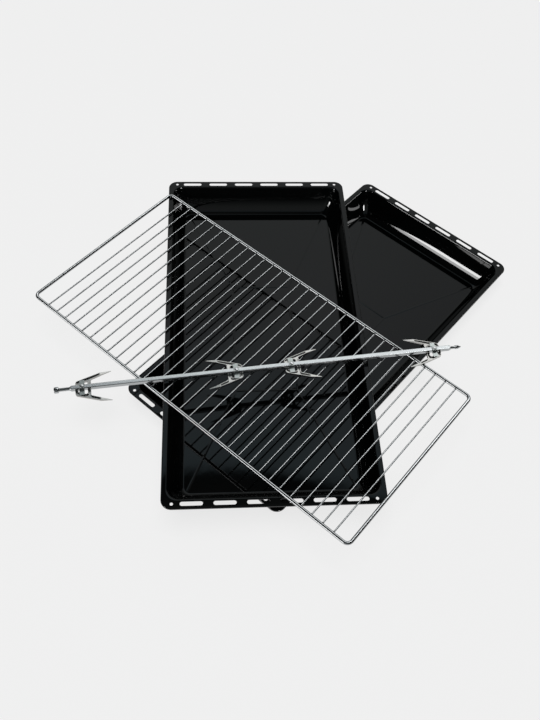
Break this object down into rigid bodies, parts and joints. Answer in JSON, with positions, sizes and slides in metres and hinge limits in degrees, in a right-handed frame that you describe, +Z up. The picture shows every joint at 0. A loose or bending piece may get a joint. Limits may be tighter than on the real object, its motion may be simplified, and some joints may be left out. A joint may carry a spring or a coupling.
{
  "type": "oven accessory set",
  "caption": "Deep black enamelled oven trays laid across each other, a chromed wire rack on top and a square rotisserie spit with sliding two-pronged forks.",
  "frame": {"origin": "middle of the lower tray's floor, at its underside, which is the plane that the set stands on", "axes": "+X along the lower tray's long side, +Y along its short side, +Z up"},
  "size_m": [0.8876, 0.7852, 0.1232],
  "materials": {
    "enamel": "glossy black vitreous enamel",
    "rack_chrome": "bright chromed wire",
    "spit_steel": "bright plated bar",
    "fork_steel": "plain pressed stainless sheet, warm grey",
    "clamp_zinc": "dull zinc plating",
    "screw_steel": "bright turned steel"
  },
  "bodies": {
    "tray_lower": {"tray_lower": "enamel"},
    "tray_upper": {"tray_upper": "enamel"},
    "rack": {"rack_frame": "rack_chrome", "rack_wire_01": "rack_chrome", "rack_wire_02": "rack_chrome", "rack_wire_03": "rack_chrome", "rack_wire_04": "rack_chrome", "rack_wire_05": "rack_chrome", "rack_wire_06": "rack_chrome", "rack_wire_07": "rack_chrome", "rack_wire_08": "rack_chrome", "rack_wire_09": "rack_chrome", "rack_wire_10": "rack_chrome", "rack_wire_11": "rack_chrome", "rack_wire_12": "rack_chrome", "rack_wire_13": "rack_chrome", "rack_wire_14": "rack_chrome", "rack_wire_15": "rack_chrome", "rack_wire_16": "rack_chrome", "rack_wire_17": "rack_chrome", "rack_wire_18": "rack_chrome", "rack_wire_19": "rack_chrome", "rack_wire_20": "rack_chrome", "rack_wire_21": "rack_chrome", "rack_wire_22": "rack_chrome", "rack_wire_23": "rack_chrome", "rack_wire_24": "rack_chrome", "rack_wire_25": "rack_chrome", "rack_wire_26": "rack_chrome", "rack_wire_27": "rack_chrome", "rack_wire_28": "rack_chrome", "rack_wire_29": "rack_chrome", "rack_wire_30": "rack_chrome", "rack_wire_31": "rack_chrome"},
    "spit": {"spit_bar": "spit_steel"},
    "fork_1": {"fork_1_blade": "fork_steel", "fork_1_clamp": "clamp_zinc"},
    "fork_1_screw": {"fork_1_screw": "screw_steel"},
    "fork_2": {"fork_2_blade": "fork_steel", "fork_2_clamp": "clamp_zinc"},
    "fork_2_screw": {"fork_2_screw": "screw_steel"},
    "fork_3": {"fork_3_blade": "fork_steel", "fork_3_clamp": "clamp_zinc"},
    "fork_3_screw": {"fork_3_screw": "screw_steel"},
    "fork_4": {"fork_4_blade": "fork_steel", "fork_4_clamp": "clamp_zinc"},
    "fork_4_screw": {"fork_4_screw": "screw_steel"}
  },
  "joints": [
    {"name": "tray_upper_lift", "type": "slide", "parent": "tray_lower", "child": "tray_upper", "axis": [0, 0, 1], "range_m": [0, 0.12]},
    {"name": "rack_lift", "type": "slide", "parent": "tray_upper", "child": "rack", "axis": [0, 0, 1], "range_m": [0, 0.12]},
    {"name": "spit_lift", "type": "slide", "parent": "rack", "child": "spit", "axis": [0, 0, 1], "range_m": [0, 0.12]},
    {"name": "fork_1_slide", "type": "slide", "parent": "spit", "child": "fork_1", "axis": [0.7666, -0.6421, 0], "range_m": [-0.005, 0.083]},
    {"name": "fork_2_slide", "type": "slide", "parent": "spit", "child": "fork_2", "axis": [0.7666, -0.6421, 0], "range_m": [-0.083, 0.037]},
    {"name": "fork_3_slide", "type": "slide", "parent": "spit", "child": "fork_3", "axis": [0.7666, -0.6421, 0], "range_m": [-0.037, 0.083]},
    {"name": "fork_4_slide", "type": "slide", "parent": "spit", "child": "fork_4", "axis": [0.7666, -0.6421, 0], "range_m": [-0.083, 0.018]},
    {"name": "fork_1_screw_turn", "type": "hinge", "parent": "fork_1", "child": "fork_1_screw", "pos_m": [-0.45043, 0.20821, 0.1206], "axis": [0, 0, 1], "range_deg": [0, 540]},
    {"name": "fork_2_screw_turn", "type": "hinge", "parent": "fork_2", "child": "fork_2_screw", "pos_m": [-0.24099, 0.03279, 0.1206], "axis": [0, 0, 1], "range_deg": [0, 540]},
    {"name": "fork_3_screw_turn", "type": "hinge", "parent": "fork_3", "child": "fork_3_screw", "pos_m": [-0.16349, -0.03213, 0.1206], "axis": [0, 0, 1], "range_deg": [0, 540]},
    {"name": "fork_4_screw_turn", "type": "hinge", "parent": "fork_4", "child": "fork_4_screw", "pos_m": [0.04396, -0.20589, 0.1206], "axis": [0, 0, 1], "range_deg": [0, 540]}
  ]
}
